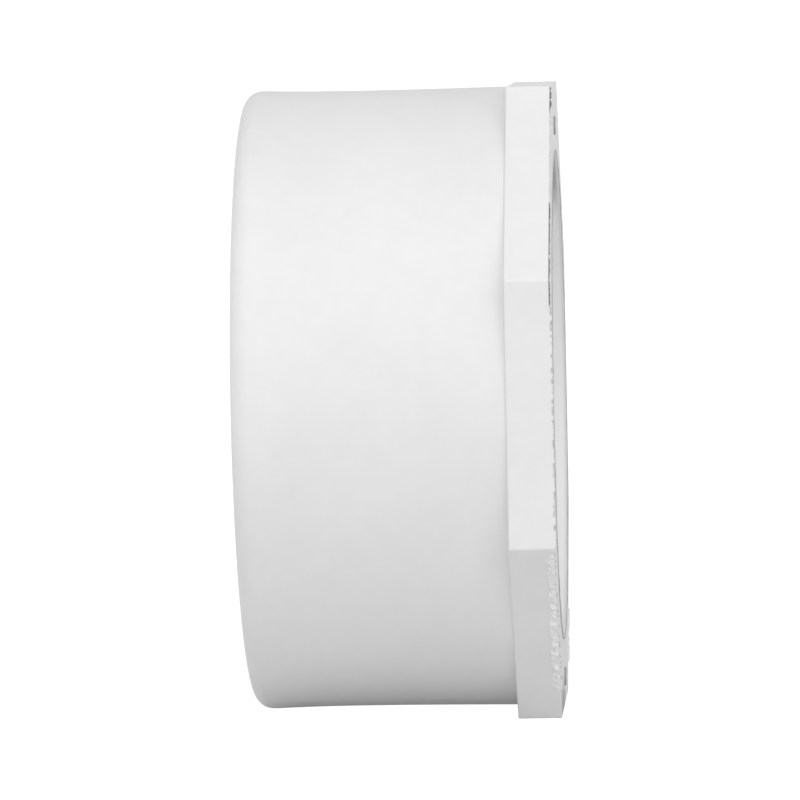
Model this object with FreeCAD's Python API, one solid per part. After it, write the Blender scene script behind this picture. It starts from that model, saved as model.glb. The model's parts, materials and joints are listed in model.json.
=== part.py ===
"""A moulded spigot pipe cap: a short round cup in white rigid PVC, closed at one end, with an octagonal
flange around its open mouth. Millimetres. +X runs along the pipe axis from the closed end to the mouth,
+Z is up, and the origin is on the axis in the plane of the shoulder, where the hub's rim stops."""

import FreeCAD
import Part
import math
import os

# Driving dimensions
spigot_diameter = 88.9        # outside of a nominal 3 inch plastic pipe, 3.500 in
spigot_length = 38.1          # from the closed end to the shoulder, 1 1/2 in, the depth of the hub
spigot_end_radius = 2.5       # rounding of the closed end's rim, so that it enters the hub
flange_thickness = 6.2        # along the pipe axis
flange_sides = 8              # wrench flats
flat_stand = 0.3              # how far the middle of each flat stands proud of the spigot
flange_corner_radius = 0.6    # rounding where two flats meet
shoulder_edge_radius = 0.15   # rounding of the flange's rim on the spigot's side
face_edge_radius = 0.3        # rounding of the flange's rim on the mouth's side
mouth_wall = 9.55             # from the spigot's outside to the edge of the mouth
mouth_edge_radius = 0.65      # rounding of the mouth's edge
bore_draft = 0.75             # degrees that the hollow narrows on each side, so that the core pulls out
end_wall = 8.0                # thickness of the closed end
floor_corner_radius = 5.0     # rounding between the hollow's wall and its floor

# Sizes that follow from them
spigot_radius = spigot_diameter / 2
flange_apothem = spigot_radius + flat_stand
corner_reach = flange_apothem / math.cos(math.pi / flange_sides)
mouth_radius = spigot_radius - mouth_wall
closed_end_x = -spigot_length
mouth_face_x = flange_thickness
floor_x = closed_end_x + end_wall
draft = math.radians(bore_draft)
floor_radius = mouth_radius - (mouth_face_x - floor_x) * math.tan(draft)
axis_origin = FreeCAD.Vector(0, 0, 0)
pipe_axis = FreeCAD.Vector(1, 0, 0)


def along(x, r):
    """A point of a turned profile: x along the pipe axis, r out from it."""
    return FreeCAD.Vector(x, 0, r)


def arc(centre_x, centre_r, radius, start, middle, end):
    """An arc of a turned profile, through three angles in degrees from +X towards +Z."""
    points = []
    for degrees in (start, middle, end):
        turn = math.radians(degrees)
        points.append(along(centre_x + radius * math.cos(turn), centre_r + radius * math.sin(turn)))
    return Part.Arc(*points).toShape()


def line(a, b):
    """A straight stretch of a turned profile."""
    return Part.LineSegment(a, b).toShape()


def turned(edges):
    """The solid swept by a closed profile once round the pipe axis."""
    return Part.Face(Part.Wire(edges)).revolve(axis_origin, pipe_axis, 360)


def spigot():
    """A solid round bar as long as the spigot and the flange, its closed end's rim rounded. The flange
    is fused around its last stretch, so the two share a core and not only a face."""
    rim_x = closed_end_x + spigot_end_radius
    rim_r = spigot_radius - spigot_end_radius
    return turned([
        line(along(closed_end_x, 0), along(closed_end_x, rim_r)),
        arc(rim_x, rim_r, spigot_end_radius, 180, 135, 90),
        line(along(rim_x, spigot_radius), along(flange_thickness / 2, spigot_radius)),
        line(along(flange_thickness / 2, spigot_radius), along(flange_thickness / 2, 0)),
        line(along(flange_thickness / 2, 0), along(closed_end_x, 0)),
    ])


def flange():
    """An octagonal plate that stands on one flat, with its corners and both rims rounded."""
    corners = []
    for i in range(flange_sides + 1):
        turn = 2 * math.pi * (i + 0.5) / flange_sides
        corners.append(FreeCAD.Vector(0, corner_reach * math.sin(turn), corner_reach * math.cos(turn)))
    plate = Part.Face(Part.makePolygon(corners)).extrude(pipe_axis * flange_thickness)
    lengthwise = [edge for edge in plate.Edges if edge.BoundBox.XLength > flange_thickness / 2]
    plate = plate.makeFillet(flange_corner_radius, lengthwise)
    shoulder_rim = [edge for edge in plate.Edges if edge.BoundBox.XMax < flange_thickness / 4]
    plate = plate.makeFillet(shoulder_edge_radius, shoulder_rim)
    face_rim = [edge for edge in plate.Edges if edge.BoundBox.XMin > flange_thickness * 3 / 4]
    return plate.makeFillet(face_edge_radius, face_rim)


def hollow():
    """The space inside the cap: a drafted hole with a rounded floor corner, flared at the mouth by the
    rounding of its edge, and run on past the face so that it cuts cleanly."""
    # The floor's arc touches the drafted wall, so it turns a quarter less the draft.
    half_corner = math.pi / 4 - draft / 2
    floor_flat = floor_radius - floor_corner_radius / math.tan(math.pi / 2 - half_corner)
    floor_arc_x = floor_x + floor_corner_radius
    floor_touch_x = floor_arc_x - floor_corner_radius * math.sin(draft)
    floor_touch_r = floor_flat + floor_corner_radius * math.cos(draft)
    # The mouth's arc touches the drafted wall too, and ends square on the face.
    mouth_arc_x = mouth_face_x - mouth_edge_radius
    mouth_arc_r = mouth_radius + mouth_edge_radius
    mouth_touch_x = mouth_arc_x + mouth_edge_radius * math.sin(draft)
    mouth_touch_r = mouth_arc_r - mouth_edge_radius * math.cos(draft)
    past_x = mouth_face_x + flange_thickness
    draft_degrees = math.degrees(draft)
    return turned([
        line(along(floor_x, 0), along(floor_x, floor_flat)),
        arc(floor_arc_x, floor_flat, floor_corner_radius, 180, 135, 90 + draft_degrees),
        line(along(floor_touch_x, floor_touch_r), along(mouth_touch_x, mouth_touch_r)),
        arc(mouth_arc_x, mouth_arc_r, mouth_edge_radius, 270 + draft_degrees, 315, 360),
        line(along(mouth_face_x, mouth_arc_r), along(past_x, mouth_arc_r)),
        line(along(past_x, mouth_arc_r), along(past_x, 0)),
        line(along(past_x, 0), along(floor_x, 0)),
    ])


def cap_body():
    """The whole moulding: spigot and flange in one, less the hollow."""
    return spigot().fuse(flange()).removeSplitter().cut(hollow())


parts = {"cap_body": cap_body()}

os.makedirs("parts", exist_ok=True)
for node, shape in parts.items():
    solid = shape.Solids[0]
    print(node, "solids", len(shape.Solids), "valid", shape.isValid(), "volume", round(shape.Volume))
    solid.exportStep(f"parts/{node}.step")
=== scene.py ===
# %% [markdown]
# # A moulded pipe cap
# The object is a spigot cap for a drain pipe: a short round cup of white rigid plastic, closed at one
# end, with an octagonal flange around its open mouth. The real one comes out of its mould in one piece,
# so one closed surface stands for it here. The small leftovers of the moulding are laid on it as pieces
# of their own, because they need far finer points than the body: fins of flash, where plastic crept
# between the halves of the mould, the rough scar where the gate was trimmed off, and two ejector marks.
# All lengths are in metres, in the frame of the CAD model: X runs along the pipe axis towards the
# mouth, Z is up, and the origin is on the axis in the plane of the shoulder.

# %% Load the frame
import json
import math

import bpy
import numpy as np
from mathutils import Matrix, Vector


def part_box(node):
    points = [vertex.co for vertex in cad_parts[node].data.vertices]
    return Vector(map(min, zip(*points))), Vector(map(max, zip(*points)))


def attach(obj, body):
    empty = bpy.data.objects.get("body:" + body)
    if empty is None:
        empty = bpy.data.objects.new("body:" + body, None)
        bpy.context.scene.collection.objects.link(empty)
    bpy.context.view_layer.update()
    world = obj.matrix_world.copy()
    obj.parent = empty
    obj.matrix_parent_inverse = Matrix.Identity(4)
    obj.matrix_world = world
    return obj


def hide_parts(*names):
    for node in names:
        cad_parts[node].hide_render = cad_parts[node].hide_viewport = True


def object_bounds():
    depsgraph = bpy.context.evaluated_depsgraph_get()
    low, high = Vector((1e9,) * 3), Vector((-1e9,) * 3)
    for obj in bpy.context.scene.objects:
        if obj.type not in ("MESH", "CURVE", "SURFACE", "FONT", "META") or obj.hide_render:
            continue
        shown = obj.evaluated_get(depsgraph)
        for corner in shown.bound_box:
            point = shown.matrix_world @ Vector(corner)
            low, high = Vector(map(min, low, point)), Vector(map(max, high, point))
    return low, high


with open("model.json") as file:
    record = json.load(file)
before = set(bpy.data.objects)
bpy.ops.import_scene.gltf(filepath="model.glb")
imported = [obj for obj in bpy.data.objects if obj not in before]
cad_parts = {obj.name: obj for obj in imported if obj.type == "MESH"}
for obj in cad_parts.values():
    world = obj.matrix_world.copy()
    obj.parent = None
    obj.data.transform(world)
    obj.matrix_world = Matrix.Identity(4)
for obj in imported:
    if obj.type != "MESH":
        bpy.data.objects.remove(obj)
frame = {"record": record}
cad_low, cad_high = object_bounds()
MM = 0.001
print("CAD box in mm:", [round(v / MM, 2) for v in (*cad_low, *cad_high)])

# %% [markdown]
# The large sizes come from the frame, so that the picture and the CAD model can't drift apart: the ends
# of the cap from its node's box, and the spigot's radius and the shoulder from the mount that a pipe's
# hub slides over. An octagon is given by its apothem, which is the distance from the middle to a side.

# %% Sizes of the flange and the spigot
node_low, node_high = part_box("cap_body")
mounts = {mount["name"]: mount for mount in frame["record"]["mounts"]}
CLOSED_END_X = node_low[0]
FACE_X = node_high[0]
SHOULDER_X = mounts["spigot"]["pos_m"][0]
SPIGOT_RADIUS = mounts["spigot"]["dims"]["r_mm"] * MM
SPIGOT_END_RADIUS = 2.5 * MM
APOTHEM = node_high[2]
SIDES = 8
HALF_SIDE = math.pi / SIDES                      # half the angle that one wrench flat takes up
SIDE_LENGTH = 2 * APOTHEM * math.tan(HALF_SIDE)
CORNER_RADIUS = 0.6 * MM                         # where two wrench flats meet
print("spigot radius", round(SPIGOT_RADIUS / MM, 2), "mm, side", round(SIDE_LENGTH / MM, 2), "mm")

# %% Sizes of the hollow
MOUTH_RADIUS = SPIGOT_RADIUS - 9.55 * MM
MOUTH_EDGE_RADIUS = 0.12 * MM
DRAFT = math.radians(0.75)                       # the hollow narrows inwards, so that its core pulls out
FLOOR_X = CLOSED_END_X + 8.0 * MM
FLOOR_CORNER_RADIUS = 5.0 * MM
FLOOR_RADIUS = MOUTH_RADIUS - (FACE_X - FLOOR_X) * math.tan(DRAFT)
print("mouth radius", round(MOUTH_RADIUS / MM, 2), "mm")
print("hollow", round((FACE_X - FLOOR_X) / MM, 2), "mm deep")

# %% [markdown]
# The camera comes before any piece, so that every later step can be looked at. It is a long lens far
# away, as for a catalogue picture: nearly square on to the pipe axis, a little above it and a little
# towards the mouth. A camera in Blender looks along its own -Z. The direction to the object is turned
# into a rotation with to_track_quat, and the roll is one more turn about the line of sight.

# %% Camera
AIM = Vector((-16.744 * MM, 0.091 * MM, -0.386 * MM))
AZIMUTH = math.radians(2.857)
ELEVATION = math.radians(3.594)
ROLL = math.radians(-1.218)
DISTANCE = 973.55 * MM
LENS_MM = 304.07
SENSOR_MM = 36.0


def stand_back(azimuth, elevation):
    """The unit vector from the object to something at that azimuth, from -Y towards +X, and elevation."""
    level = math.cos(elevation)
    return Vector((math.sin(azimuth) * level, -math.cos(azimuth) * level, math.sin(elevation)))


camera = bpy.data.objects.new("camera", bpy.data.cameras.new("camera"))
bpy.context.scene.collection.objects.link(camera)
camera.data.lens = LENS_MM
camera.data.sensor_width = SENSOR_MM
camera.data.clip_start = 0.01
camera.data.clip_end = 200.0
back = stand_back(AZIMUTH, ELEVATION)
turn = (-back).to_track_quat("-Z", "Y").to_matrix() @ Matrix.Rotation(ROLL, 3, "Z")
camera.matrix_world = Matrix.LocRotScale(AIM + back * DISTANCE, turn.to_quaternion(), None)
bpy.context.scene.camera = camera
print("camera at", [round(v, 4) for v in camera.location])

# %% [markdown]
# A white thing on white is lit from everywhere, inside a light tent, with a few large soft lamps shining
# through the cloth. Area lights could do it, but they would stand in the way of other views. So the light
# is the world itself: a faint glow all over, and soft round patches that glow more. A patch is the cosine
# of the angle to its middle, raised to the fourth power, which falls to half at 33 degrees. The key light
# is high in front. A second one is low and towards the mouth, and reaches the far wall of the hollow.
# The tent's wall glows near the horizon too, more at the back, where the white backdrop stands. That
# strip is what a surface shows in its gloss when it is seen almost edge on.

# %% Light tent
AMBIENT = 0.20
PATCHES = [                                      # azimuth and elevation in degrees, and the glow
    (0, 45, 1.58), (45, 15, 1.09), (-90, 15, 0.93), (180, 15, 0.50),
    (0, 90, 0.35), (135, 15, 0.28), (0, 15, 0.13),
]
PATCH_POWER = 4.0
WALL_HEIGHT = 0.12                               # the sine of the elevation of the wall's top
WALL_GLOW = 0.7
BACKDROP_GLOW = 0.53


def math_node(nodes, links, operation, first, second):
    """A Math node on two inputs, which are numbers or the outputs of other nodes."""
    node = nodes.new("ShaderNodeMath")
    node.operation = operation
    for socket, value in zip(node.inputs, (first, second)):
        if isinstance(value, (int, float)):
            socket.default_value = value
        else:
            links.new(value, socket)
    return node.outputs[0]


def light_tent():
    """A world that glows by direction: the ambient light, every patch, the wall and the backdrop."""
    world = bpy.data.worlds.new("light_tent")
    world.use_nodes = True
    nodes, links = world.node_tree.nodes, world.node_tree.links
    nodes.clear()
    direction = nodes.new("ShaderNodeTexCoord").outputs["Generated"]
    total = AMBIENT
    for azimuth, elevation, glow in PATCHES:
        towards = nodes.new("ShaderNodeVectorMath")
        towards.operation = "DOT_PRODUCT"
        links.new(direction, towards.inputs[0])
        towards.inputs[1].default_value = stand_back(math.radians(azimuth), math.radians(elevation))
        facing = math_node(nodes, links, "MAXIMUM", towards.outputs["Value"], 0.0)
        patch = math_node(nodes, links, "POWER", facing, PATCH_POWER)
        total = math_node(nodes, links, "ADD", math_node(nodes, links, "MULTIPLY", patch, glow), total)
    split = nodes.new("ShaderNodeSeparateXYZ")
    links.new(direction, split.inputs[0])
    behind = math_node(nodes, links, "GREATER_THAN", split.outputs["Y"], 0.0)
    backdrop = math_node(nodes, links, "MULTIPLY", behind, BACKDROP_GLOW)
    wall = math_node(nodes, links, "ADD", backdrop, WALL_GLOW)
    low = math_node(nodes, links, "LESS_THAN", split.outputs["Z"], WALL_HEIGHT)
    total = math_node(nodes, links, "ADD", math_node(nodes, links, "MULTIPLY", low, wall), total)
    background = nodes.new("ShaderNodeBackground")
    links.new(total, background.inputs["Strength"])
    links.new(background.outputs[0], nodes.new("ShaderNodeOutputWorld").inputs["Surface"])
    return world


bpy.context.scene.world = light_tent()
bpy.context.scene.view_settings.view_transform = "Standard"
bpy.context.scene.view_settings.look = "None"
print("light tent with", len(PATCHES), "patches")

# %% [markdown]
# The floor is a wide sheet of pale matt card. It throws light back up under the cap, so its own colour
# matters more than it seems. A white sheet under a white thing is lit until its picture is plain white,
# and only the closest shadows are left. It is a light table in effect: card mixed with a glow from below,
# which softens the shadow under the cap. Seen straight by the camera, the share of the glow is larger.

# %% Floor
FLOOR_REACH = 60.0
FLOOR_GAP = 0.02 * MM
FLOOR_COLOUR = (0.75, 0.75, 0.75, 1)
FLOOR_GLOW = 0.60
FLOOR_GLOW_SHARE = 0.20
SEEN_GLOW = 1.3                                  # the same two for what the camera sees straight
SEEN_GLOW_SHARE = 0.80


def pale_card():
    """Matt card mixed with a glow, which is stronger where the camera sees it straight."""
    material = bpy.data.materials.new("pale_card")
    material.use_nodes = True
    nodes, links = material.node_tree.nodes, material.node_tree.links
    nodes.clear()
    card = nodes.new("ShaderNodeBsdfDiffuse")
    card.inputs["Color"].default_value = FLOOR_COLOUR
    glow = nodes.new("ShaderNodeEmission")
    seen = nodes.new("ShaderNodeLightPath").outputs["Is Camera Ray"]
    brighter = math_node(nodes, links, "MULTIPLY", seen, SEEN_GLOW - FLOOR_GLOW)
    links.new(math_node(nodes, links, "ADD", brighter, FLOOR_GLOW), glow.inputs["Strength"])
    mix = nodes.new("ShaderNodeMixShader")
    more = math_node(nodes, links, "MULTIPLY", seen, SEEN_GLOW_SHARE - FLOOR_GLOW_SHARE)
    links.new(math_node(nodes, links, "ADD", more, FLOOR_GLOW_SHARE), mix.inputs["Fac"])
    links.new(card.outputs[0], mix.inputs[1])
    links.new(glow.outputs[0], mix.inputs[2])
    links.new(mix.outputs[0], nodes.new("ShaderNodeOutputMaterial").inputs["Surface"])
    return material


def wide_floor(material):
    """A flat square just under the flange's lowest wrench flat."""
    corners = np.array([(-1, -1, 0), (1, -1, 0), (1, 1, 0), (-1, 1, 0)]) * FLOOR_REACH
    mesh = bpy.data.meshes.new("floor")
    mesh.from_pydata((corners + (0, 0, cad_low[2] - FLOOR_GAP)).tolist(), [], [(0, 1, 2, 3)])
    mesh.materials.append(material)
    floor = bpy.data.objects.new("floor", mesh)
    bpy.context.scene.collection.objects.link(floor)


wide_floor(pale_card())
print("floor at z", round((cad_low[2] - FLOOR_GAP) / MM, 2), "mm")

# %% [markdown]
# The cap's one material is white rigid PVC with a satin skin. Up close it isn't one white: the resin
# mixes unevenly, in cloudy shades a few millimetres across, and there is the odd dark speck of scorched
# resin. The skin has a fine orange peel, and its gloss changes a little from place to place, most near
# the gate, where the plastic entered and its skin is duller. The meshes also say, for every point, how
# much dark grey is painted on: painted shade along the flash fins, round the ejector marks, on the mouth's
# edge and at the top of the hollow, and plain grey on the lip and in one patch on the face. Another number
# marks the hollow, which is painted a shade whiter: painted light, for the light that reaches its far wall.
# All of it is made by nodes in Object coordinates, which are metres here, so a noise scale of 200 gives
# clouds of about 5 mm.

# %% Clouds and specks
def cloudy(nodes, links, place, scale, detail, low, high):
    """A noise of that scale per metre, stretched so that it runs from low to high."""
    noise = nodes.new("ShaderNodeTexNoise")
    noise.inputs["Scale"].default_value = scale
    noise.inputs["Detail"].default_value = detail
    links.new(place, noise.inputs["Vector"])
    stretch = nodes.new("ShaderNodeMapRange")
    stretch.inputs["From Min"].default_value = 0.3
    stretch.inputs["From Max"].default_value = 0.7
    stretch.inputs["To Min"].default_value = low
    stretch.inputs["To Max"].default_value = high
    links.new(noise.outputs["Fac"], stretch.inputs["Value"])
    return stretch.outputs["Result"]


def specks(nodes, links, place, scale, radius, share):
    """One near the middle of a share of the cells of a Voronoi pattern, else nought: the cell is chosen
    by its random colour, and the speck is where the distance to the cell's point is under radius."""
    cells = nodes.new("ShaderNodeTexVoronoi")
    cells.inputs["Scale"].default_value = scale
    links.new(place, cells.inputs["Vector"])
    colour = nodes.new("ShaderNodeSeparateColor")
    links.new(cells.outputs["Color"], colour.inputs[0])
    chosen = math_node(nodes, links, "LESS_THAN", colour.outputs[0], share)
    close = math_node(nodes, links, "LESS_THAN", cells.outputs["Distance"], radius)
    return math_node(nodes, links, "MULTIPLY", chosen, close)


# %% Distance from the gate
GATE = (FACE_X, -0.7071 * APOTHEM, -0.7071 * APOTHEM)    # on the lower wrench flat towards the camera
GATE_REACH = 30 * MM                             # how far the duller skin around the gate goes


def near_gate(nodes, links, place):
    """One at the gate, and nought from GATE_REACH away from it."""
    away = nodes.new("ShaderNodeVectorMath")
    away.operation = "DISTANCE"
    links.new(place, away.inputs[0])
    away.inputs[1].default_value = GATE
    fade = nodes.new("ShaderNodeMapRange")
    fade.interpolation_type = "SMOOTHSTEP"
    fade.inputs["From Min"].default_value = GATE_REACH
    fade.inputs["From Max"].default_value = 0.0
    links.new(away.outputs["Value"], fade.inputs["Value"])
    return fade.outputs["Result"]


print("gate at", [round(v / MM, 1) for v in GATE], "mm")

# %% Colours and marks
def tint(nodes, links, factor, before, after):
    """A colour that goes from before to after as factor goes from nought to one."""
    mix = nodes.new("ShaderNodeMix")
    mix.data_type = "RGBA"
    links.new(factor, mix.inputs["Factor"])
    for socket, value in ((mix.inputs[6], before), (mix.inputs[7], after)):
        if isinstance(value, tuple):
            socket.default_value = value
        else:
            links.new(value, socket)
    return mix.outputs[2]


def mesh_value(nodes, name):
    """The value that a mesh holds for each of its points under that name, or nought if it holds none."""
    attribute = nodes.new("ShaderNodeAttribute")
    attribute.attribute_name = name
    return attribute.outputs["Fac"]


# %% White plastic
WHITE = (0.86, 0.86, 0.86)
TORN_WHITE = (0.91, 0.91, 0.905)                 # plastic whitens where it is torn
# Painted light: the hollow's plastic is painted this whiter colour, for the light that reaches its far
# wall.
LIT_HOLLOW_WHITE = (0.95, 0.95, 0.95, 1)
# Dark grey that is painted on: painted shade on most pieces, and plain grey on the lip and the face's
# patch.
SHADE_AND_MARK_GREY = (0.16, 0.16, 0.165, 1)
SCORCHED = (0.10, 0.08, 0.06, 1)
PVC_IOR = 1.53
GATE_ROUGHNESS = 0.10                            # what the gate's duller skin adds
PEEL_DEPTH = 0.01 * MM


def white_plastic(name, white_colour, smoothest, roughest, peel_strength):
    """Satin white PVC: cloudy shades, scorched specks, painted grey and painted shade, a hollow painted
    whiter as painted light, uneven gloss and orange peel.
    """
    material = bpy.data.materials.new(name)
    material.use_nodes = True
    nodes, links = material.node_tree.nodes, material.node_tree.links
    shader = nodes["Principled BSDF"]
    shader.inputs["IOR"].default_value = PVC_IOR
    place = nodes.new("ShaderNodeTexCoord").outputs["Object"]
    wide = cloudy(nodes, links, place, scale=70.0, detail=2.0, low=0.985, high=1.01)
    small = cloudy(nodes, links, place, scale=420.0, detail=3.0, low=0.99, high=1.01)
    shade = math_node(nodes, links, "MULTIPLY", wide, small)
    white = nodes.new("ShaderNodeVectorMath")
    white.operation = "SCALE"
    white.inputs[0].default_value = white_colour
    links.new(shade, white.inputs["Scale"])
    dots = specks(nodes, links, place, scale=110.0, radius=0.012, share=0.08)
    speckled = tint(nodes, links, dots, white.outputs[0], SCORCHED)
    hollow_lit = tint(nodes, links, mesh_value(nodes, "painted_light"), speckled, LIT_HOLLOW_WHITE)
    # Dark grey is mixed in by a number per point: painted shade along the fins, the ejector marks, the
    # mouth's edge and the hollow's top, and plain grey on the lip and in the face's patch.
    colour = tint(nodes, links, mesh_value(nodes, "shade_and_marks"), hollow_lit, SHADE_AND_MARK_GREY)
    links.new(colour, shader.inputs["Base Color"])
    gloss = cloudy(nodes, links, place, scale=240.0, detail=3.0, low=smoothest, high=roughest)
    dull = math_node(nodes, links, "MULTIPLY", near_gate(nodes, links, place), GATE_ROUGHNESS)
    links.new(math_node(nodes, links, "ADD", gloss, dull), shader.inputs["Roughness"])
    peel = cloudy(nodes, links, place, scale=1300.0, detail=2.0, low=0.0, high=1.0)
    bump = nodes.new("ShaderNodeBump")
    bump.inputs["Strength"].default_value = peel_strength
    bump.inputs["Distance"].default_value = PEEL_DEPTH
    links.new(peel, bump.inputs["Height"])
    links.new(bump.outputs[0], shader.inputs["Normal"])
    return material


plastic = white_plastic("white_pvc", WHITE, smoothest=0.38, roughest=0.47, peel_strength=0.25)
torn_plastic = white_plastic("torn_white_pvc", TORN_WHITE, smoothest=0.55, roughest=0.70, peel_strength=0.6)
print("materials", plastic.name, torn_plastic.name, "with", len(plastic.node_tree.nodes), "nodes each")

# %% [markdown]
# Everything that repeats around the pipe axis is given by an angle, which starts at +Z and grows towards
# +Y, so 270 degrees is the side that faces the camera. The flange's outline is the distance from the
# axis at an angle: the apothem over the cosine of the angle to the middle of the nearest wrench flat.
# Near a corner the far side of a small circle takes over, one that touches both flats.

# %% Outline of the flange
SHARPEST_CORNER = 0.05 * MM


def octagon_reach(angle, inset=0.0):
    """How far the rim is from the axis, with the whole outline moved inwards by inset. In a flat it is
    apothem over cosine. In a corner it is the circle's centre distance times the cosine of the angle to
    the corner, plus the root of the radius squared less the sideways offset squared."""
    to_flat = (angle + HALF_SIDE) % (2 * HALF_SIDE) - HALF_SIDE
    to_corner = HALF_SIDE - np.abs(to_flat)
    apothem = APOTHEM - np.asarray(inset)
    radius = np.maximum(CORNER_RADIUS - inset, SHARPEST_CORNER)
    centre = (apothem - radius) / math.cos(HALF_SIDE)
    touch = np.arctan2(radius * math.sin(HALF_SIDE), centre + radius * math.cos(HALF_SIDE))
    under = np.maximum(radius**2 - (centre * np.sin(to_corner)) ** 2, 0.0)
    rounded = centre * np.cos(to_corner) + np.sqrt(under)
    return np.where(to_corner < touch, rounded, apothem / np.cos(to_flat))


print("across corners", round(2 * float(octagon_reach(np.array(HALF_SIDE))) / MM, 2), "mm")

# %% [markdown]
# The body is a grid: rings along the profile, and the same angles in every ring. Points are spent where
# the shape turns, which is at the eight corners, so the angles crowd there. They are found with a
# running sum of the wanted density, by looking up where it reaches equal shares.

# %% Spacing of the grid
def crowded_angles(count, crowding=10.0, spread=math.radians(0.5)):
    """Angles once round, closer together at the corners of the flange."""
    fine = np.linspace(0, 2 * math.pi, 40001)
    to_corner = HALF_SIDE - np.abs((fine + HALF_SIDE) % (2 * HALF_SIDE) - HALF_SIDE)
    density = 1 + crowding * np.exp(-((to_corner / spread) ** 2))
    total = np.concatenate([[0], np.cumsum((density[1:] + density[:-1]) / 2)])
    return np.interp(np.arange(count) / count * total[-1], total, fine)


def both_ends(count):
    """Steps from 0 to 1 that are close together at both ends: half of one minus a cosine."""
    return ((1 - np.cos(np.linspace(0, math.pi, count))) / 2)[:, None]


def towards_end(count):
    """Steps from 0 to 1 that get closer together towards 1: a quarter of a sine."""
    return np.sin(np.linspace(0, math.pi / 2, count))[:, None]


def rounding(centre_x, centre_r, radius, start, end, count):
    """x and distance from the axis on a circular arc, with its angle in degrees from +X outwards."""
    turn = np.radians(np.linspace(start, end, count))[:, None]
    return centre_x + radius * np.cos(turn), centre_r + radius * np.sin(turn)


angles = crowded_angles(540)
print("closest angles", round(math.degrees(np.diff(angles).min()), 3), "degrees apart")

# %% [markdown]
# No moulding is as true as its drawing. The thick spigot sinks in a little at its waist as it cools, and
# so does the middle of the closed end. To make such marks uneven, random numbers are drawn at regular
# steps from a seeded generator and joined with straight lines, which gives the same result every time.

# %% Uneven marks of moulding
WAIST = 0.2 * MM
WAIST_START = 0.1                                # the share of the side that stays true by the closed end
WAIST_LEAN = 0.71                                # below one, the deepest place is nearer the closed end
DISH = 0.25 * MM


def waist(x):
    """How far the spigot's side lies inside its nominal radius: half a wave along it, whose argument
    is the share of the way from the start, raised to the power WAIST_LEAN."""
    share = np.clip((x - CLOSED_END_X) / (SHOULDER_X - CLOSED_END_X), 0, 1)
    return WAIST * np.sin(math.pi * np.clip((share - WAIST_START) / (1 - WAIST_START), 0, 1) ** WAIST_LEAN)


def uneven_round(angle, count, seed):
    """Random numbers from -1 to 1 around the axis: count of them, joined by straight lines."""
    knots = np.random.default_rng(seed).uniform(-1, 1, count)
    return np.interp(angle / (2 * math.pi) * count, np.arange(count), knots, period=count)


def uneven_along(place, step, seed):
    """Random numbers from -1 to 1 along a line: one for every step of it, joined by straight lines."""
    steps = (place - place.min()) / step
    knots = np.random.default_rng(seed).uniform(-1, 1, int(steps.max()) + 2)
    return np.interp(steps, np.arange(len(knots)), knots)


print("waist at the middle of the spigot", round(waist((CLOSED_END_X + SHOULDER_X) / 2) / MM, 3), "mm")

# %% [markdown]
# Now the profile, from the middle of the closed end, over the outside, to the mouth and down the hollow.
# It is cut into sections. Each one is an array with a row for every ring and a column for every angle,
# and holds x, the distance from the axis, and how much dark grey is painted on. The first section is the
# closed end with its rounded rim and the spigot's side up to the flange.

# %% Closed end and spigot
ROOT_RADIUS = 0.12 * MM


def section(x, r, shade_and_marks=0.0):
    """Rings as one array of x, distance from the axis and painted grey, for every ring and angle."""
    shape = np.broadcast_shapes(np.shape(x), np.shape(r), np.shape(shade_and_marks), (1, angles.size))
    return np.stack([np.broadcast_to(value, shape) for value in (x, r, shade_and_marks)], axis=-1)


end_reach = SPIGOT_RADIUS - SPIGOT_END_RADIUS
share = towards_end(15)[1:]
closed_end = section(CLOSED_END_X + DISH * (1 - share**2) ** 2, end_reach * share)
end_rim = section(*rounding(CLOSED_END_X + SPIGOT_END_RADIUS, end_reach, SPIGOT_END_RADIUS, 180, 90, 13))
side_start = CLOSED_END_X + SPIGOT_END_RADIUS
side_end = SHOULDER_X - ROOT_RADIUS
side_x = side_start + (side_end - side_start) * both_ends(28)[1:]
spigot = section(side_x, SPIGOT_RADIUS - waist(side_x))
root = section(*rounding(side_end, SPIGOT_RADIUS + ROOT_RADIUS, ROOT_RADIUS, -90, 0, 4))
print("spigot rings", len(closed_end) + len(end_rim) + len(spigot) + len(root))

# %% [markdown]
# The flange starts at the shoulder, which is hardly there in the middle of a wrench flat and widest at
# the corners. A wrench flat is only as many rings as its shading needs, and its two edges are rounded:
# as an edge turns through a quarter circle, x moves on and the whole outline shrinks or grows with it.

# %% Flange
SHOULDER_EDGE_RADIUS = 0.22 * MM
FACE_EDGE_RADIUS = 0.06 * MM


def rim_edge(centre_x, radius, start, end, count):
    """Rings over a rounded edge of the octagon: as the arc turns, x moves and the outline is inset."""
    turn = np.radians(np.linspace(start, end, count))[1:, None]
    return section(centre_x + radius * np.cos(turn), octagon_reach(angles, radius * (1 - np.sin(turn))))


inner = SPIGOT_RADIUS + ROOT_RADIUS
outer = np.maximum(octagon_reach(angles, SHOULDER_EDGE_RADIUS), inner)
shoulder = section(SHOULDER_X, inner + (outer - inner) * both_ends(6)[1:])
shoulder_edge = rim_edge(SHOULDER_X + SHOULDER_EDGE_RADIUS, SHOULDER_EDGE_RADIUS, 180, 90, 6)
flat_start = SHOULDER_X + SHOULDER_EDGE_RADIUS
flat_end = FACE_X - FACE_EDGE_RADIUS
wrench_flats = section(flat_start + (flat_end - flat_start) * both_ends(16)[1:], octagon_reach(angles))
face_edge = rim_edge(flat_end, FACE_EDGE_RADIUS, 90, 0, 4)
print("flange from x", round(SHOULDER_X / MM, 2), "to", round(FACE_X / MM, 2), "mm")

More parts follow.
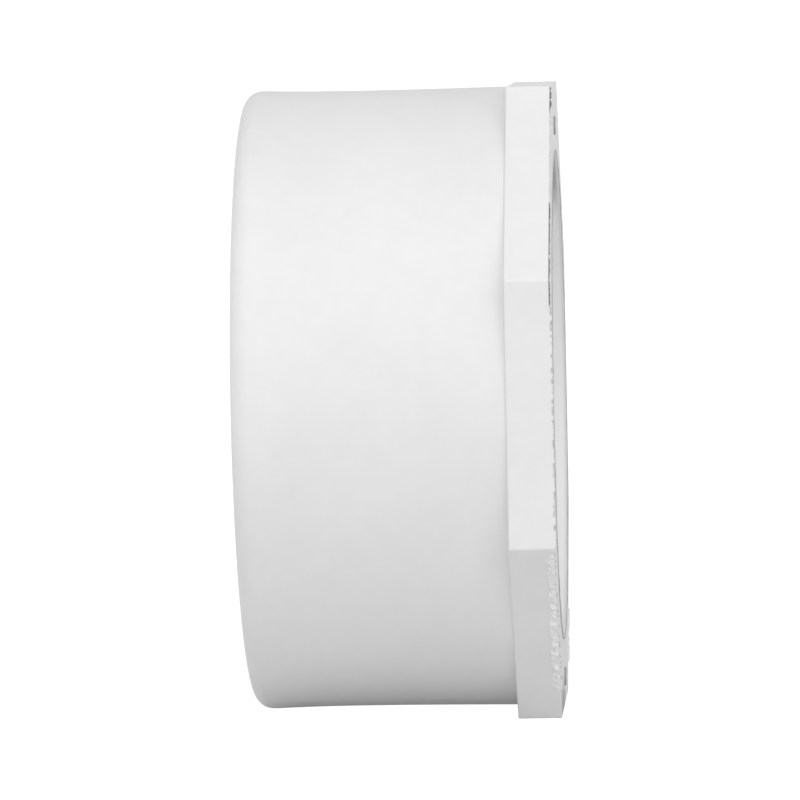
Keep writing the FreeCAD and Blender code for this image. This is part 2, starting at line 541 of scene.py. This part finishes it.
# %% [markdown]
# The face is flat and runs from the rim in to the mouth. It is painted a darker grey in one patch, low
# down by the corner where the gate was. With the distance from its middle counted in the patch's own
# reach, the grey is e raised to minus the distance's fourth power, which gives a full middle and a soft
# edge. Fine uneven rings run through it.

# %% Face and its darker patch
LIP_WIDTH = 0.22 * MM
DARK_PATCH = (-9.0 * MM, -43.4 * MM)                  # y and z of the darker patch's middle
DARK_PATCH_REACH = (11.0 * MM, 2.4 * MM)
DARK_PATCH_GREY = 0.9
STREAK_STEP = 0.25 * MM                           # sets how close the rings of scuffs are
STREAK_SHARE = 0.25                               # how much of the grey they change

lip_foot = MOUTH_RADIUS + MOUTH_EDGE_RADIUS
outer = octagon_reach(angles, FACE_EDGE_RADIUS)
inner = lip_foot + LIP_WIDTH
face_r = outer + (inner - outer) * both_ends(20)[1:]
patch_y = (face_r * np.sin(angles) - DARK_PATCH[0]) / DARK_PATCH_REACH[0]
patch_z = (face_r * np.cos(angles) - DARK_PATCH[1]) / DARK_PATCH_REACH[1]
# The face is painted a darker grey in this patch.
fading = np.exp(-((patch_y**2 + patch_z**2) ** 2))
streak_rings = np.sin(face_r / STREAK_STEP) ** 2
streaks = 1 - STREAK_SHARE + STREAK_SHARE * uneven_round(angles, 420, 7) * streak_rings
face = section(FACE_X, face_r, DARK_PATCH_GREY * streaks * fading)
print("face is", round((float(outer.min()) - inner) / MM, 2), "mm wide in the middle of a flat")

# %% [markdown]
# Where the core that shaped the hollow met the plate that shaped the face, the plastic crept up into a
# low lip around the mouth, a fifth of a millimetre high. The lip is painted dark grey, which draws a thin
# grey line around the opening. Its ridge is one minus the cube of the distance from its middle, and height
# and grey both wander as it goes round. Inside it the mouth's own edge is nearly sharp, and is painted a
# little grey: painted shade on its rounding.

# %% Lip and mouth's edge
LIP_HEIGHT = 0.22 * MM
LIP_UNEVEN = 0.12                                # how much its height wanders, and its grey as well
LIP_GREY = 0.84
# Painted shade: the mouth's rounding is painted a little grey.
MOUTH_EDGE_SHADE = 0.12

share = np.linspace(0, 1, 11)[1:, None]
ridge = 1 - np.abs(2 * share - 1) ** 3
lip_height = LIP_HEIGHT * (1 - LIP_UNEVEN + LIP_UNEVEN * uneven_round(angles, 130, 5))
# The lip's ridge is painted dark grey.
lip_grey = ridge * (LIP_GREY + LIP_UNEVEN * uneven_round(angles, 200, 6))
lip = section(FACE_X + lip_height * ridge, inner - LIP_WIDTH * share, lip_grey)
draft_degrees = math.degrees(DRAFT)
mouth_edge_x, mouth_edge_r = rounding(FACE_X - MOUTH_EDGE_RADIUS, lip_foot, MOUTH_EDGE_RADIUS,
                                      360, 270 + draft_degrees, 6)
mouth_edge = section(mouth_edge_x[1:], mouth_edge_r[1:], MOUTH_EDGE_SHADE)
print("lip from", round(lip_foot / MM, 2), "to", round(inner / MM, 2), "mm from the axis")

# %% [markdown]
# The hollow is a straight drafted wall, a generous rounding at its foot and a flat floor. The rounding
# is tangent to both, so its centre lies off the wall by the radius, measured square to the drafted wall.
# Just inside the mouth, near the top, the wall is painted grey: painted shade for the shadow in the top
# of the hollow, darkest a millimetre in.

# %% Hollow
TOP_SHADE_ANGLE = math.radians(20)
TOP_SHADE_REACH = math.radians(19)
TOP_SHADE_DEPTH = 1.0 * MM                            # where it is darkest, and how far it fades from there
TOP_SHADE_FADE = 2.0 * MM
TOP_SHADE_STRENGTH = 0.9

floor_reach = FLOOR_RADIUS - FLOOR_CORNER_RADIUS * math.tan(math.pi / 4 + DRAFT / 2)
corner_x, corner_r = rounding(FLOOR_X + FLOOR_CORNER_RADIUS, floor_reach, FLOOR_CORNER_RADIUS,
                              90 + draft_degrees, 180, 13)
wall_depth = mouth_edge_x[-1] - corner_x[0]
share = both_ends(19)[1:-1]
wall_x = mouth_edge_x[-1] - wall_depth * share
wall_r = mouth_edge_r[-1] + (corner_r[0] - mouth_edge_r[-1]) * share
from_angle = ((angles - TOP_SHADE_ANGLE + math.pi) % (2 * math.pi) - math.pi) / TOP_SHADE_REACH
from_top_shade = np.abs(mouth_edge_x[-1] - wall_x - TOP_SHADE_DEPTH) / TOP_SHADE_FADE
# Painted shade: the wall just inside the top of the mouth is painted grey.
wall = section(wall_x, wall_r, TOP_SHADE_STRENGTH * np.exp(-(from_angle**4)) * np.clip(1 - from_top_shade, 0, 1))
floor_corner = section(corner_x, corner_r)
hollow_floor = section(FLOOR_X, floor_reach * towards_end(13)[::-1][1:-1])
print("wall narrows from", np.round(wall_r[0] / MM, 2), "to", np.round(wall_r[-1] / MM, 2), "mm")

# %% [markdown]
# The sections are laid end to end. Neighbouring rings are joined by four-sided faces, and both ends close
# in a fan of triangles to a point on the axis, so the surface is closed, like the real solid. A closed
# mesh can be checked: the volume inside, summed over its triangles, is positive if its faces point
# outwards. If it isn't, all faces are turned over.

# %% From rings to a mesh
def volume_inside(mesh):
    """The sum over all triangles of the triple product of their corners, over six."""
    mesh.calc_loop_triangles()
    corners = np.empty(len(mesh.vertices) * 3)
    mesh.vertices.foreach_get("co", corners)
    triangles = np.empty(len(mesh.loop_triangles) * 3, dtype=np.int64)
    mesh.loop_triangles.foreach_get("vertices", triangles)
    a, b, c = corners.reshape(-1, 3)[triangles.reshape(-1, 3)].transpose(1, 0, 2)
    return float(np.einsum("ij,ij->i", a, np.cross(b, c)).sum() / 6)


def closed_rings(name, points, first, last, shade_and_marks, material=plastic, smooth=True):
    """A closed mesh from rings of points, an array of rings by columns by xyz, with a fan of triangles
    to the point first at the start and to the point last at the end. A number per point says how much
    dark grey is painted on: painted shade on most pieces."""
    rows, columns = points.shape[:2]
    everything = np.concatenate([points.reshape(-1, 3), [first, last]])
    index = np.arange(rows * columns).reshape(rows, columns)
    here, there = index[:-1], index[1:]
    quads = np.stack([here, np.roll(here, -1, 1), np.roll(there, -1, 1), there], axis=-1).reshape(-1, 4)
    tip, tail = rows * columns, rows * columns + 1
    start = np.stack([np.full(columns, tip), np.roll(index[0], -1), index[0]], axis=-1)
    end = np.stack([np.full(columns, tail), index[-1], np.roll(index[-1], -1)], axis=-1)
    mesh = bpy.data.meshes.new(name)
    mesh.from_pydata(everything.tolist(), [], quads.tolist() + start.tolist() + end.tolist())
    if volume_inside(mesh) < 0:
        mesh.flip_normals()
    mesh.polygons.foreach_set("use_smooth", np.full(len(mesh.polygons), smooth))
    # Each point's share of painted dark grey, painted shade on most pieces, goes into the mesh.
    darkening = mesh.attributes.new("shade_and_marks", "FLOAT", "POINT")
    darkening.data.foreach_set("value", np.concatenate([shade_and_marks.ravel(), [0.0, 0.0]]).astype(np.float32))
    mesh.materials.append(material)
    piece = bpy.data.objects.new(name, mesh)
    bpy.context.scene.collection.objects.link(piece)
    print(name, len(mesh.vertices), "points,", round(volume_inside(mesh) * 1e9, 1), "cubic mm")
    return piece


# %% Body
rings = np.concatenate([
    closed_end, end_rim, spigot, root, shoulder, shoulder_edge, wrench_flats, face_edge,
    face, lip, mouth_edge, wall, floor_corner, hollow_floor,
])
x, r, shade_and_marks = rings.transpose(2, 0, 1)
points = np.stack([x, r * np.sin(angles), r * np.cos(angles)], axis=-1)
body = closed_rings("cap_moulding", points, (CLOSED_END_X + DISH, 0, 0), (FLOOR_X, 0, 0), shade_and_marks)
hollow_rings = len(wall) + len(floor_corner) + len(hollow_floor)
# The hollow is marked for painted light, which paints its plastic a shade whiter.
in_hollow = np.zeros(len(body.data.vertices), dtype=np.float32)
in_hollow[-2 - angles.size * hollow_rings:] = 1.0    # the last rings, and the two points of the fans
in_hollow[-2] = 0.0                              # the first fan's, in the middle of the closed end
body.data.attributes.new("painted_light", "FLOAT", "POINT").data.foreach_set("value", in_hollow)
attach(body, "root")
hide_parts("cap_body")

# %% [markdown]
# Flash is the thin ragged fin that is left where the mould didn't quite shut. Here it runs along the
# face's edge on the flats towards the camera, with a shorter one on the far side. It could be carved
# into the body, but that would need very fine rings all the way round. Strips of its own are better: a
# small closed loop, carried along one side of the octagon. Its foot is sunk into the body, and its
# height wanders, with a nick here and there. Where a fin stands a little back from the flat, its outer
# side is painted dark, all but its tip: painted shade for the shadow in the narrow ledge below it. Its
# tip carries dark dashes too: painted shadow for the gaps behind it.

# %% Places on a flat
def on_flat(flat, x, out, along):
    """Points from x, the distance out from the axis and the distance along one of the flats."""
    angle = flat * 2 * HALF_SIDE
    y = out * math.sin(angle) + along * math.cos(angle)
    z = out * math.cos(angle) - along * math.sin(angle)
    return np.stack(np.broadcast_arrays(x, y, z), axis=-1)


# %% A flash fin
FLASH_POINTS = 16
FLASH_STEP = 0.07 * MM
FLASH_FOOT = 0.12 * MM
FLASH_TAPER = 0.4 * MM                           # over which a fin's ends run out
TAPER_END = 0.06                                 # the share that is left of it at the very end
RAGGED = 0.80                                    # the mean height, and how much two unevennesses add
RAGGED_COARSE = 0.16
RAGGED_FINE = 0.14
NICK_START = 0.5                                 # the random number above which a nick begins
NICK_DEPTH = 1.3
LEAN = 0.06 * MM
OVERSHOOT = 0.015 * MM                           # how far a fin stands out from the flat it grows from


def flash_fin(name, flat, start, end, height, thickness, set_back, side_shade, tip_shade, seed):
    """A ragged fin on the face's edge of a flat, from start to end along it. Its cross section is an
    oval that is half sunk in the body: height times a cosine, thickness times a sine."""
    along = np.linspace(start, end, int((end - start) / FLASH_STEP))[:, None]
    turn = np.linspace(0, 2 * math.pi, FLASH_POINTS, endpoint=False)
    upwards, outwards = np.clip(np.cos(turn), 0, 1), np.clip(np.sin(turn), 0, 1)
    ends = np.clip(np.minimum(along - start, end - along) / FLASH_TAPER, TAPER_END, 1) ** 0.5
    ragged = RAGGED + RAGGED_COARSE * uneven_along(along, 0.5 * MM, seed)
    ragged = ragged + RAGGED_FINE * uneven_along(along, 0.16 * MM, seed + 1)
    nick = np.clip(uneven_along(along, 0.9 * MM, seed + 2) - NICK_START, 0, 1)
    rise = height * ends * (ragged - NICK_DEPTH * nick)
    thick = thickness * ends * (0.85 + 0.3 * uneven_along(along, 0.3 * MM, seed + 3))
    lean = LEAN * uneven_along(along, 0.8 * MM, seed + 4)
    x = FACE_X + np.where(np.cos(turn) > 0, rise, FLASH_FOOT) * np.cos(turn)
    out = APOTHEM + OVERSHOOT - set_back - thick / 2 * (1 - np.sin(turn)) + lean * upwards
    points = on_flat(flat, x, out, along)
    shadow_dash = np.clip(uneven_along(along, 0.45 * MM, seed + 5) + 0.1, 0, 1) ** 0.5
    # Painted shade on the fin's outer side, and painted shadow in dashes along its tip.
    shade_and_marks = side_shade * outwards**0.5 * (1 - upwards**8) + tip_shade * upwards * shadow_dash
    return closed_rings(name, points, points[0].mean(axis=0), points[-1].mean(axis=0), shade_and_marks)


# %% Flash
HALF = SIDE_LENGTH / 2 / MM                      # from the middle of a flat to its corner, in mm
FINS = [
    # name, flat, start and end along it, height, thickness, set back, side shade, tip shade, seed
    ("rim_flash_front", 6, 0.1 - HALF, HALF - 3.5, 0.42, 0.28, 0.0, 0.0, 0.80, 20),
    ("rim_flash_corner", 6, HALF - 3.6, HALF + 0.02, 0.27, 0.2, 0.06, 1.0, 0.1, 50),
    ("rim_flash_upper", 7, -HALF, 14.6 - HALF, 0.27, 0.2, 0.06, 1.0, 0.1, 60),
    ("rim_flash_middle", 7, 14.8 - HALF, HALF - 5.6, 0.24, 0.22, 0.04, 0.2, 0.3, 70),
    ("rim_flash_top", 7, HALF - 5.4, HALF - 0.2, 0.36, 0.30, 0.06, 1.0, 0.4, 80),
    ("rim_flash_gate", 5, -12.9, HALF - 0.4, 0.34, 0.34, -0.03, 0.0, 0.55, 90),
    ("rim_flash_far", 3, 2.8, 13.2, 0.24, 0.18, 0.0, 0.0, 0.15, 30),
]
for name, flat, start, end, height, thickness, set_back, side_shade, tip_shade, seed in FINS:
    fin = flash_fin(name, flat, start * MM, end * MM, height * MM, thickness * MM, set_back * MM,
                    side_shade, tip_shade, seed)
    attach(fin, "root")

# %% [markdown]
# Two round marks on the face, above and below the mouth, stand just proud of it, where pins pushed the
# cap out of the mould. Each is a low button: its side rises along a quarter of a circle, which is painted
# grey, painted shadow round its edge, and its top is flat. It starts under the face, so that it joins it
# without a gap.

# %% Ejector marks
MARK_RADIUS = 1.35 * MM
MARK_HEIGHT = 0.28 * MM
MARK_RIM = 0.15                                  # the share of the radius that the rounded rim takes
MARK_PLACES = (38.7 * MM, -40.7 * MM)            # above and below the pipe axis
MARK_SHADE = 0.8
MARK_ANGLES = np.linspace(0, 2 * math.pi, 40, endpoint=False)


def ejector_mark(name, centre_z):
    """A low button on the face: rings that start under it, go over a rounded rim and in to the middle."""
    rim = np.radians(np.linspace(0, 90, 7))[:, None]
    rim_reach = 1 - MARK_RIM + MARK_RIM * np.cos(rim)
    reach = np.concatenate([[[1.0]], rim_reach, [[0.6], [0.3]]]) * MARK_RADIUS
    x = FACE_X + MARK_HEIGHT * np.concatenate([[[-0.5]], np.sin(rim), [[1.0], [1.0]]])
    points = np.stack(np.broadcast_arrays(
        x, reach * np.cos(MARK_ANGLES), centre_z + reach * np.sin(MARK_ANGLES)), axis=-1)
    # Painted shadow: the button's rounded rim is painted grey.
    shade_and_marks = MARK_SHADE * np.concatenate([[[1.0]], np.cos(rim) ** 0.5, [[0.0], [0.0]]])
    shade_and_marks = np.broadcast_to(shade_and_marks, points.shape[:2])
    under = (FACE_X - MARK_HEIGHT / 2, 0, centre_z)
    return closed_rings(name, points, under, (FACE_X + MARK_HEIGHT, 0, centre_z), shade_and_marks)


for name, centre_z in zip(("ejector_mark_top", "ejector_mark_bottom"), MARK_PLACES):
    mark = ejector_mark(name, centre_z)
    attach(mark, "root")

# %% [markdown]
# The gate is where the molten plastic was let into the mould. It is twisted or cut off afterwards, and
# leaves a strip of torn plastic. On this cap it is on the lower flat towards the camera, against the
# face. Torn plastic breaks into small facets, so its height is drawn on a coarse grid of random numbers
# with straight lines between them, in two sizes, and its faces are left flat instead of smooth.

# %% Facets
def facets(along, across, step, seed):
    """Heights from -1 to 1 over a surface: random numbers on a square grid, with straight lines between
    them in both directions."""
    u, v = (along - along.min()) / step, (across - across.min()) / step
    u, v = np.broadcast_arrays(u, v)
    grid = np.random.default_rng(seed).uniform(-1, 1, (int(u.max()) + 2, int(v.max()) + 2))
    i, j = u.astype(int), v.astype(int)
    a, b = u - i, v - j
    low = grid[i, j] * (1 - a) + grid[i + 1, j] * a
    high = grid[i, j + 1] * (1 - a) + grid[i + 1, j + 1] * a
    return low * (1 - b) + high * b


# %% Gate scar
SCAR_START = -12.6 * MM
SCAR_END = 17.3 * MM
SCAR_STEP = 0.11 * MM
SCAR_TAPER = 1.5 * MM                            # over which its ends get narrower
SCAR_WIDTH = 1.28 * MM
SCAR_OFF_FACE = 0.015 * MM
SCAR_SUNK = 0.25 * MM
SCAR_DIP = 0.05                                  # its border lies this far under the flat, in mm
SCAR_RISE = 0.16                                 # and its middle this far above its border, in mm
SCAR_COARSE = 0.25                               # the heights of its facets of two sizes, in mm
SCAR_FINE = 0.10
CHIP_HEIGHT = 0.25                               # one chip stands higher, in mm
CHIP_PLACE = -7.3 * MM
CHIP_REACH = 0.55 * MM


def gate_scar(name, flat, seed):
    """A rough closed strip: over each place along it, a top row of points from facets, which dips under
    the flat at the strip's uneven border, and a bottom row sunk into the body."""
    along = np.arange(SCAR_START, SCAR_END, SCAR_STEP)[:, None]
    across = np.linspace(0, 1, 17)[None, :]
    width = SCAR_WIDTH * (0.84 + 0.16 * uneven_along(along, 1.7 * MM, seed))
    width = width * np.clip(np.minimum(along - SCAR_START, SCAR_END - along) / SCAR_TAPER, 0.1, 1) ** 0.4
    x = FACE_X - SCAR_OFF_FACE - width * (1 - across)
    border = np.clip(across * 6, 0, 1) * np.clip((1 - across) * 14, 0.55, 1)
    coarse = SCAR_COARSE * facets(along, x, 0.50 * MM, seed + 1)
    rough = coarse + SCAR_FINE * facets(along, x, 0.18 * MM, seed + 2)
    rough = rough * (0.95 + 0.3 * uneven_along(along, 3.1 * MM, seed + 3))
    chip = CHIP_HEIGHT * np.exp(-(((along - CHIP_PLACE) / CHIP_REACH) ** 2)) * np.sin(math.pi * across)
    top = APOTHEM + MM * ((SCAR_RISE + rough + chip) * border - SCAR_DIP)
    bottom = np.broadcast_to(APOTHEM - SCAR_SUNK, top.shape)
    over, under = on_flat(flat, x, top, along), on_flat(flat, x, bottom, along)
    points = np.concatenate([over, under[:, ::-1]], axis=1)
    shade_and_marks = np.zeros(points.shape[:2])
    return closed_rings(name, points, points[0].mean(axis=0), points[-1].mean(axis=0), shade_and_marks,
                        torn_plastic, smooth=False)


scar = gate_scar("gate_scar", 5, 40)
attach(scar, "root")
